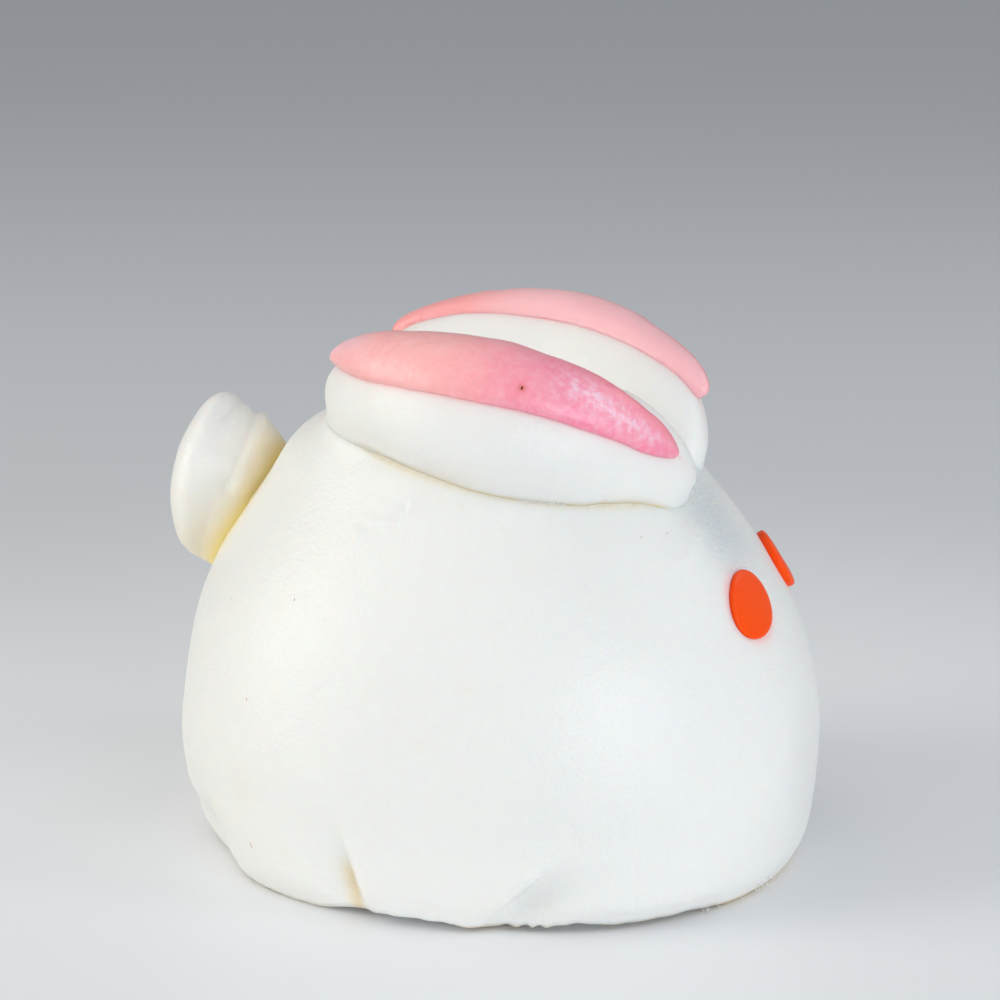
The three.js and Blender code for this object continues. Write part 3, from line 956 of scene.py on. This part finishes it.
def joined(name, parts, material):
    """One piece from several sets of points and faces."""
    points, faces, start = [], [], 0
    for part_points, part_faces in parts:
        points.append(part_points)
        faces += [tuple(int(i) + start for i in face) for face in part_faces]
        start += len(part_points)
    mesh = bpy.data.meshes.new(name)
    mesh.from_pydata((np.concatenate(points) * MM).tolist(), [], faces)
    return finished_piece(name, mesh, material)


def scatter_specks():
    """Small browned specks on the skin, and a burnt one on the stripe."""
    for name, (skin, slot, specks) in SPECKS.items():
        parts = []
        for seed, (point, along, size) in enumerate(specks):
            spot, normal = nearest(bpy.data.objects[skin], point)
            parts.append(blob(spot, normal, np.array(along, float), size, seed))
        joined(name, parts, finish(name.replace("_", " ").title()))


def seam_points(low, high, count):
    """Points along the right ear's outer seam, between two parts of its length, and the body's normals."""
    part = np.linspace(low, high, count)[:, None]
    section = ear_point(EARS["right"], part, np.radians(np.linspace(20, -80, 400))[None], 0)
    first = np.argmax(body_gap(section) < 0.12, axis=1)
    spots = section[np.arange(count), first]
    return spots, uphill(body_gap, spots)


def crumb_seam():
    """Dried white crumbs and glazed dashes along the seam of the right ear."""
    rng = np.random.default_rng(8)
    parts = []
    for low, high, count, shape in CRUMBS:
        spots, normals = seam_points(low, high, count)
        along = np.gradient(spots, axis=0)
        for i in range(count):
            size = np.array(shape) * rng.uniform(0.6, 1.3)
            spot = spots[i] + normals[i] * size[2] * 0.2 + unit(along[i]) * rng.uniform(-0.3, 0.3)
            parts.append(blob(spot, normals[i], along[i], size, 100 + len(parts), 6, 9))
    joined("seam_crumbs", parts, finish("Dried Crumb"))


def tear_fibres():
    """Fine torn threads of dough at the edge of the foot."""
    rng = np.random.default_rng(12)
    parts = []
    t = np.linspace(0, 1, 7)[:, None]
    for _ in range(FIBRES["count"]):
        right = rng.uniform(*FIBRES["right"])
        height = 0.5 + 1.4 * rng.random() * smoothstep(40, 14, right)
        start, normal = skin_spot(right, height)
        out = unit(normal * [1, 1, 0])
        sway = np.array([rng.uniform(*FIBRES["sway"]), rng.uniform(*FIBRES["sway"]), -0.55])
        length, thick = rng.uniform(*FIBRES["length"]), rng.uniform(*FIBRES["thick"])
        line = start - out * 0.3 + (out * 0.9 + sway) * length * t + np.array([0, 0, -0.35]) * length * t**2
        line[:, 2] = np.maximum(line[:, 2], 0.08)
        parts.append(thread(line, thick * (1 - 0.75 * t[:, 0])))
    joined("torn_fibres", parts, finish("Dried Crumb"))


# ---- Finishes ----

def linear(color):
    """A colour picked on screen as the linear values that shaders use."""
    return [c / 12.92 if c <= 0.04045 else ((c + 0.055) / 1.055) ** 2.4 for c in color[:3]] + [1.0]


def give(node, values):
    """Sets inputs of a node by name."""
    for name, value in values.items():
        node.inputs[name].default_value = value


class Tree:
    """A few short words for laying out shader nodes."""

    def __init__(self, tree):
        self.tree = tree

    def add(self, kind, **values):
        node = self.tree.nodes.new(kind)
        for name, value in values.items():
            setattr(node, name, value)
        return node

    def join(self, source, target):
        self.tree.links.new(source, target)

    def feed(self, sockets, values):
        """Links each socket to its value, or sets it where the value is a number or a colour."""
        for socket, value in zip(sockets, values):
            if isinstance(value, (int, float, list, tuple)):
                socket.default_value = value
            else:
                self.join(value, socket)

    def math(self, operation, a, b, clamp=False):
        node = self.add("ShaderNodeMath", operation=operation, use_clamp=clamp)
        self.feed(node.inputs, (a, b))
        return node.outputs[0]

    def times(self, a, b, clamp=False):
        return self.math("MULTIPLY", a, b, clamp)

    def above(self, value, level, gain, clamp=False):
        """How far a value is above a level, times gain."""
        return self.times(self.math("SUBTRACT", value, level, True), gain, clamp)

    def noise(self, vector, scale, detail=2.0, roughness=0.5):
        node = self.add("ShaderNodeTexNoise")
        sockets = [node.inputs[name] for name in ("Vector", "Scale", "Detail", "Roughness")]
        self.feed(sockets, (vector, scale, detail, roughness))
        return node.outputs["Fac"]

    def place(self):
        return self.add("ShaderNodeTexCoord").outputs["Object"]

    def mask(self, name):
        return self.add("ShaderNodeAttribute", attribute_name=name).outputs["Fac"]

    def blend(self, factor, a, b):
        node = self.add("ShaderNodeMix", data_type="RGBA")
        self.feed((node.inputs[0], node.inputs[6], node.inputs[7]), (factor, a, b))
        return node.outputs[2]

    def layers(self, color, covers):
        """Lays colours over a first one, each by its own mask."""
        for factor, cover in covers:
            color = self.blend(factor, color, linear(cover))
        return color


def steamed_skin():
    """The skin of steamed dough: fine grain, drawn wrinkles, frost and faint mottling."""
    if "Steamed Skin" in bpy.data.node_groups:
        return bpy.data.node_groups["Steamed Skin"]
    group = bpy.data.node_groups.new("Steamed Skin", "ShaderNodeTree")
    for label, default in (("Wrinkle", 1.0), ("Frost", 0.0)):
        socket = group.interface.new_socket(label, in_out="INPUT", socket_type="NodeSocketFloat")
        socket.default_value = default
    for label in ("Height", "Mottle", "Dry", "Patches", "Sparkle"):
        group.interface.new_socket(label, in_out="OUTPUT", socket_type="NodeSocketFloat")
    tree = Tree(group)
    given, out = tree.add("NodeGroupInput").outputs, tree.add("NodeGroupOutput").inputs
    where = tree.place()
    drawn = tree.add("ShaderNodeMapping")
    give(drawn, {"Scale": (1.0, 1.0, 0.28)})
    tree.join(where, drawn.inputs["Vector"])
    wrinkle = tree.noise(drawn.outputs["Vector"], 900.0, 3.0, 0.55)
    wrinkled = tree.times(wrinkle, tree.noise(where, 110.0, 1.0))
    sparkle = tree.noise(where, 3200.0, 2.0, 0.7)
    frosted = tree.times(sparkle, given["Frost"])
    height = tree.noise(where, 2200.0, 3.0, 0.6)
    for relief, share in ((wrinkled, given["Wrinkle"]), (tree.noise(where, 420.0), 0.8), (frosted, 5.5)):
        height = tree.math("ADD", height, tree.times(relief, share))
    tree.join(height, out["Height"])
    tree.join(sparkle, out["Sparkle"])
    tree.join(tree.noise(where, 260.0, 4.0, 0.6), out["Mottle"])
    tree.join(tree.noise(where, 60.0, 2.0, 0.5), out["Dry"])
    tree.join(tree.noise(where, 1300.0, 3.0, 0.6), out["Patches"])
    return group


def skin_material(name, roughness, glow, grain):
    """A dough shader with its skin group, bump and soft inner light; glow and grain are depths.
    Returns the tree, shader and skin."""
    material = bpy.data.materials.new(name)
    material.use_nodes = True
    tree = Tree(material.node_tree)
    shader = material.node_tree.nodes["Principled BSDF"]
    give(shader, {
        "Subsurface Weight": bpy.context.scene.bun_finish.softness, "Subsurface Radius": (1.0, 0.62, 0.42),
        "Subsurface Scale": glow * MM, "IOR": 1.42,
    })
    skin = tree.add("ShaderNodeGroup", node_tree=steamed_skin())
    bump = tree.add("ShaderNodeBump")
    give(bump, {"Strength": 1.0, "Distance": grain * MM})
    rough = tree.add("ShaderNodeMapRange")
    give(rough, {"To Min": roughness - 0.07, "To Max": roughness + 0.07})
    tree.join(skin.outputs["Height"], bump.inputs["Height"])
    tree.join(bump.outputs["Normal"], shader.inputs["Normal"])
    tree.join(skin.outputs["Dry"], rough.inputs["Value"])
    tree.join(rough.outputs["Result"], shader.inputs["Roughness"])
    return tree, shader, skin


def lay_dough(name):
    """White dough: tan stains, painted tan and warm shade, bled pink, painted pink glow, and painted glints
    on the frosted brow.
    """
    finishes = bpy.context.scene.bun_finish
    tree, shader, skin = skin_material(name, finishes.roughness, 1.6, 0.1)
    frost = tree.mask("rough")
    tree.join(frost, skin.inputs["Frost"])
    warm = tree.times(skin.outputs["Mottle"], 0.5)
    # Fine dots where cool glints are painted on the frosted skin.
    painted_glints = tree.times(frost, tree.above(skin.outputs["Sparkle"], 0.36, 4.5, True))
    color = tree.layers(linear(finishes.dough), (
        # Tan of stains and tan painted as shade; warm yellow painted as shade where the tail meets the back.
        (warm, finishes.dough_warm), (tree.mask("tan"), finishes.crust_and_shade), (tree.mask("gold"), finishes.gold),
        # Pink bled from the stripes, and pink painted as a glow round the eyes; cool glints painted on the
        # frosted brow.
        (tree.mask("blush"), finishes.bled_pink_and_glow), (painted_glints, finishes.frost),
    ))
    tree.join(color, shader.inputs["Base Color"])


def lay_pink(name):
    """Pink dough: mottled, pinker towards the front, painted shade along one edge, and painted highlights and
    light in patches.
    """
    finishes = bpy.context.scene.bun_finish
    tree, shader, skin = skin_material(name, finishes.roughness - 0.04, 1.0, 0.075)
    give(skin, {"Wrinkle": 2.2})
    give(shader, {"Coat Weight": 0.3, "Coat Roughness": 0.3})
    tree.join(shader.inputs["Normal"].links[0].from_socket, shader.inputs["Coat Normal"])
    patches = skin.outputs["Patches"]
    # Pale pink highlights painted in patches where the mask puts them.
    wet = tree.times(tree.math("ADD", tree.above(patches, 0.42, 4.5, True), 0.35), tree.mask("wet"))
    color = tree.layers(linear(finishes.salmon), (
        (tree.mask("along"), finishes.pink),
        (tree.above(skin.outputs["Mottle"], 0.38, 1.1), finishes.pink_pale_and_highlight),
        # Pale pink painted as highlight and light.
        (tree.mask("pale"), finishes.pink_pale_and_highlight),
        (tree.above(patches, 0.44, 1.3), finishes.pink_pale_and_highlight),
        # Deeper pink painted as shade along one edge.
        (tree.times(tree.mask("edge"), 0.6), finishes.pink_shade),
        (tree.times(wet, 0.8, True), finishes.pink_highlight),
        (tree.mask("scorch"), finishes.scorch),
    ))
    tree.join(color, shader.inputs["Base Color"])


def lay_mottled(name):
    """A plainer finish that wanders between two colours."""
    finishes = bpy.context.scene.bun_finish
    roughness, glow, grain, gloss, color, other, parts = MOTTLED[name]
    other = [c * part for c, part in zip(getattr(finishes, other), parts)]
    tree, shader, skin = skin_material(name, roughness, glow, grain)
    mottled = tree.blend(skin.outputs["Mottle"], linear(getattr(finishes, color)), linear(other))
    tree.join(mottled, shader.inputs["Base Color"])
    give(shader, {"Specular IOR Level": gloss})


# Roughness, depths of the inner light and the grain, gloss, both colours, and the parts of the second one's
# red, green and blue that are used.
MOTTLED = {
    "Orange Disc": (0.36, 0.6, 0.01, 0.2, "orange", "orange", (1, 0.86, 1)),
    "Dried Crumb": (0.35, 0.5, 0.02, 0.5, "dough", "dough_warm", (1, 1, 1)),
    "Burnt Speck": (0.45, 0.3, 0.02, 0.5, "burnt", "burnt", (0.8, 0.8, 0.8)),
    "Browned Specks": (0.45, 0.3, 0.02, 0.5, "browned", "browned", (0.8, 0.8, 0.8)),
}


def finish(name):
    """The material of that name, laid out when it is first asked for."""
    if name not in bpy.data.materials:
        {"White Dough": lay_dough, "Pink Dough": lay_pink}.get(name, lay_mottled)(name)
    return bpy.data.materials[name]


# ---- Stage ----

def lay_floor():
    """A wide plain floor whose colour turns a little darker away from the bun: painted shade."""
    stage = bpy.context.scene.bun_stage
    n = FLOOR_SIDES
    turn = full_turn(n)[0]
    points = [(0, 0, 0)] + [(r * math.cos(t), r * math.sin(t), 0) for r in FLOOR_RINGS for t in turn]
    faces = [(0, 1 + i, 1 + (i + 1) % n) for i in range(n)]
    for ring in range(len(FLOOR_RINGS) - 1):
        a, b = 1 + ring * n, 1 + (ring + 1) * n
        faces += [(a + i, b + i, b + (i + 1) % n, a + (i + 1) % n) for i in range(n)]
    mesh = bpy.data.meshes.new("floor")
    mesh.from_pydata(points, [], faces)
    floor = bpy.data.objects.new("floor", mesh)
    floor.location.z = -FLOOR_DROP
    bpy.context.scene.collection.objects.link(floor)
    material = bpy.data.materials.new("Pale Floor")
    material.use_nodes = True
    tree = Tree(material.node_tree)
    shader = material.node_tree.nodes["Principled BSDF"]
    where = tree.place()
    away = tree.add("ShaderNodeVectorMath", operation="LENGTH")
    tree.join(where, away.inputs[0])
    sweep = tree.add("ShaderNodeMapRange", interpolation_type="SMOOTHSTEP")
    give(sweep, {"From Min": 0.055, "From Max": 0.2})
    tree.join(away.outputs["Value"], sweep.inputs["Value"])
    darker = [c * 0.97 for c in stage.floor]
    near = tree.blend(tree.noise(where, 3.0), linear(stage.floor), linear(darker))
    # The floor's colour darkens away from the bun: painted shade.
    color = tree.blend(sweep.outputs["Result"], near, linear(stage.far_floor_shade))
    tree.join(color, shader.inputs["Base Color"])
    give(shader, {"Roughness": 0.5})
    mesh.materials.append(material)


def light_bun():
    """Soft lights aimed at the bun, and an even room."""
    stage = bpy.context.scene.bun_stage
    for name, (azimuth, elevation, distance, width, height, color) in LIGHTS.items():
        lamp = bpy.data.lights.new(name, "AREA")
        lamp.shape = "RECTANGLE"
        lamp.size, lamp.size_y = width, height
        lamp.energy, lamp.color = getattr(stage, name), color
        light = bpy.data.objects.new(name, lamp)
        a, e = math.radians(azimuth), math.radians(elevation)
        way = Vector((math.cos(a) * math.cos(e), math.sin(a) * math.cos(e), math.sin(e)))
        light.location = way * distance + Vector(LIGHT_TARGET)
        light.rotation_euler = way.to_track_quat("Z", "Y").to_euler()
        bpy.context.scene.collection.objects.link(light)
    world = bpy.data.worlds.new("soft room")
    world.use_nodes = True
    give(world.node_tree.nodes["Background"], {"Color": ROOM_COLOR, "Strength": stage.room})
    bpy.context.scene.world = world
    bpy.context.scene.view_settings.view_transform = "Standard"


def aim_camera():
    stage = bpy.context.scene.bun_stage
    lens = bpy.data.cameras.new("camera")
    lens.lens, lens.sensor_width = stage.lens, 36.0
    lens.clip_start, lens.clip_end = 0.01, 50.0
    camera = bpy.data.objects.new("camera", lens)
    camera.location = CAMERA_AT
    camera.rotation_euler = (math.radians(90 - stage.pitch), 0, math.radians(stage.azimuth))
    bpy.context.scene.collection.objects.link(camera)
    bpy.context.scene.camera = camera


# ---- Settings ----

def length_setting(name, text, millimetres):
    return FloatProperty(
        name=name, description=text, default=millimetres * MM, unit="LENGTH", subtype="DISTANCE", precision=5
    )


def color_setting(name, text, default):
    return FloatVectorProperty(
        name=name, description=text, default=default, subtype="COLOR_GAMMA", size=3, min=0, max=1
    )


def number_setting(name, text, default, **limits):
    return FloatProperty(name=name, description=text, default=default, **limits)


class BunShape(bpy.types.PropertyGroup):
    height: length_setting(
        "Height", "Height of the body from the flat base to the crown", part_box("bun_body")[1].z / MM
    )
    unevenness: length_setting("Unevenness", "How far the hand-shaped skin swells and sinks", 0.28)
    pleat_depth: number_setting(
        "Pleat depth", "Depth of the pleats as part of their usual depth", 1.0, min=0, max=2
    )


class BunEars(bpy.types.PropertyGroup):
    length: length_setting("Length", "Length of an ear", 43.2)
    width: length_setting("Width", "Width of an ear", 15.4)
    height: length_setting("Height", "Height of an ear's section", 16.3)
    seam: length_setting("Seam", "Softness of the seam along an ear", 0.35)
    rear_join: length_setting("Rear join", "Softness of the join at an ear's back end", 4.5)
    front_join: length_setting("Front join", "Softness of the join at an ear's front end", 0.35)


class BunStripes(bpy.types.PropertyGroup):
    thickness: length_setting("Thickness", "Height of a stripe above the ear's skin", 1.5)


class BunEyes(bpy.types.PropertyGroup):
    thickness: length_setting("Thickness", "Height of an eye disc above the skin", 0.6)


class BunFinish(bpy.types.PropertyGroup):
    dough: color_setting("Dough", "White of the steamed dough", (0.922, 0.919, 0.91))
    dough_warm: color_setting("Warm dough", "Ivory of the dough's mottling", (0.917, 0.908, 0.872))
    # Cool white painted as glints on the frosted brow and the rough patch.
    frost: color_setting("Frost", "Cool white of the frosted brow", (0.893, 0.915, 0.925))
    # Tan of stains and of the dry foot, also painted as shade along seams, in a pleat and at the foot's edge.
    crust_and_shade: color_setting("Crust", "Tan of seams, folds and the foot's edge", (0.88, 0.77, 0.53))
    # Warm yellow painted as shade where the tail meets the back.
    gold: color_setting("Gold", "Golden yellow where the tail meets the back", (1.0, 0.88, 0.54))
    pink: color_setting("Pink", "Pink of a stripe's front", (1.0, 0.54, 0.65))
    # Pale pink of a stripe's mottling, also painted on it as highlight and light.
    pink_pale_and_highlight: color_setting("Pale pink", "Pale mottling of a stripe", (1.0, 0.76, 0.775))
    salmon: color_setting("Salmon", "Pink of a stripe's back", (1.0, 0.69, 0.675))
    # Pale pink painted as a stripe's highlights.
    pink_highlight: color_setting("Wet pink", "Pale pink of a stripe's wet patches", (1.0, 0.8, 0.86))
    scorch: color_setting("Scorch", "Brown-orange round the speck on the stripe", (0.86, 0.4, 0.24))
    # Pink bled from the stripes into the white dough, also painted as a glow round the eyes.
    bled_pink_and_glow: color_setting("Bled", "Pink that has bled into the white dough", (1.0, 0.62, 0.62))
    # Deeper pink painted as shade along a stripe's edge.
    pink_shade: color_setting("Deep pink", "Pink of a stripe's inner edge", (0.98, 0.48, 0.5))
    orange: color_setting("Orange", "Orange of the eye discs", (1.0, 0.33, 0.02))
    burnt: color_setting("Burnt", "Brown of the speck on the stripe", (0.5, 0.17, 0.08))
    browned: color_setting("Browned", "Tan of the small specks", (0.88, 0.66, 0.45))
    roughness: number_setting("Roughness", "Roughness of the moist skin", 0.34, min=0, max=1)
    softness: number_setting("Softness", "Share of light that passes under the skin", 0.45, min=0, max=1)


class BunStage(bpy.types.PropertyGroup):
    floor: color_setting("Floor", "Colour of the plain floor", (0.95, 0.955, 0.965))
    # Darker floor colour away from the bun, painted shade.
    far_floor_shade: color_setting("Far floor", "Colour of the floor away from the bun", (0.84, 0.85, 0.865))
    azimuth: number_setting("Azimuth", "Turn of the camera about the upright axis", -73.5)
    pitch: number_setting("Pitch", "How far the camera looks down", 13.42)
    lens: number_setting("Lens", "Focal length", 105.26, unit="CAMERA")
    window: number_setting("Window", "Power of the window light", 1.82, unit="POWER")
    fill: number_setting("Fill", "Power of the fill light", 2.39, unit="POWER")
    face: number_setting("Face", "Power of the light at the face", 0.25, unit="POWER")
    lamp: number_setting("Lamp", "Power of the lamp before the face", 0.48, unit="POWER")
    overhead: number_setting("Overhead", "Power of the light above", 0.84, unit="POWER")
    room: number_setting("Room", "Strength of the even light of the room", 0.394)


# ---- Operators ----

class BUN_OT_body(bpy.types.Operator):
    """Shape the white body with its pleats and rough patch"""
    bl_idname = "bun.body"
    bl_label = "Shape Body"

    def execute(self, context):
        shape_body()
        return {"FINISHED"}


class BUN_OT_ears(bpy.types.Operator):
    """Lay the two ears on the crown"""
    bl_idname = "bun.ears"
    bl_label = "Lay Ears"

    def execute(self, context):
        for name in EARS:
            shape_ear(name)
        return {"FINISHED"}


class BUN_OT_stripes(bpy.types.Operator):
    """Lay a pink stripe along each ear"""
    bl_idname = "bun.stripes"
    bl_label = "Lay Stripes"

    def execute(self, context):
        for name in EARS:
            lay_stripe(name)
        return {"FINISHED"}


class BUN_OT_tail(bpy.types.Operator):
    """Press the tail on the back"""
    bl_idname = "bun.tail"
    bl_label = "Press Tail"

    def execute(self, context):
        press_tail()
        return {"FINISHED"}


class BUN_OT_eyes(bpy.types.Operator):
    """Set the two orange discs on the face"""
    bl_idname = "bun.eyes"
    bl_label = "Set Eyes"

    def execute(self, context):
        for name in EYES:
            set_eye(name)
        return {"FINISHED"}


class BUN_OT_marks(bpy.types.Operator):
    """Add the specks, the crumbs along the seam and the torn threads at the foot"""
    bl_idname = "bun.marks"
    bl_label = "Add Marks"

    def execute(self, context):
        if "white_body" not in bpy.data.objects or "pink_stripe_right" not in bpy.data.objects:
            raise RuntimeError("shape the body and lay the stripes before the marks")
        scatter_specks()
        crumb_seam()
        tear_fibres()
        return {"FINISHED"}


class BUN_OT_stage(bpy.types.Operator):
    """Lay the pale floor, hang the soft lights and place the camera"""
    bl_idname = "bun.stage"
    bl_label = "Set Stage"

    def execute(self, context):
        lay_floor()
        light_bun()
        aim_camera()
        return {"FINISHED"}


class BUN_PT_panel(bpy.types.Panel):
    """Settings and steps of the bun"""
    bl_idname = "BUN_PT_panel"
    bl_label = "Steamed Bun"
    bl_space_type = "VIEW_3D"
    bl_region_type = "UI"
    bl_category = "Bun"

    def draw(self, context):
        for group in SETTINGS:
            box = self.layout.box()
            settings = getattr(context.scene, group)
            for name in settings.__annotations__:
                box.prop(settings, name)
        for operator in OPERATORS:
            self.layout.operator(operator.bl_idname)


SETTINGS = {
    "bun_shape": BunShape, "bun_ears": BunEars, "bun_stripes": BunStripes, "bun_eyes": BunEyes,
    "bun_finish": BunFinish, "bun_stage": BunStage,
}
OPERATORS = (BUN_OT_stage, BUN_OT_body, BUN_OT_ears, BUN_OT_stripes, BUN_OT_tail, BUN_OT_eyes, BUN_OT_marks)


def register():
    for kind in (*SETTINGS.values(), *OPERATORS, BUN_PT_panel):
        bpy.utils.register_class(kind)
    for name, kind in SETTINGS.items():
        setattr(bpy.types.Scene, name, PointerProperty(type=kind))


def unregister():
    for name in SETTINGS:
        delattr(bpy.types.Scene, name)
    for kind in reversed((*SETTINGS.values(), *OPERATORS, BUN_PT_panel)):
        bpy.utils.unregister_class(kind)


def main():
    register()
    bpy.ops.bun.stage()
    bpy.ops.bun.body()
    bpy.ops.bun.ears()
    bpy.ops.bun.stripes()
    bpy.ops.bun.tail()
    bpy.ops.bun.eyes()
    bpy.ops.bun.marks()


if __name__ == "__main__":
    main()
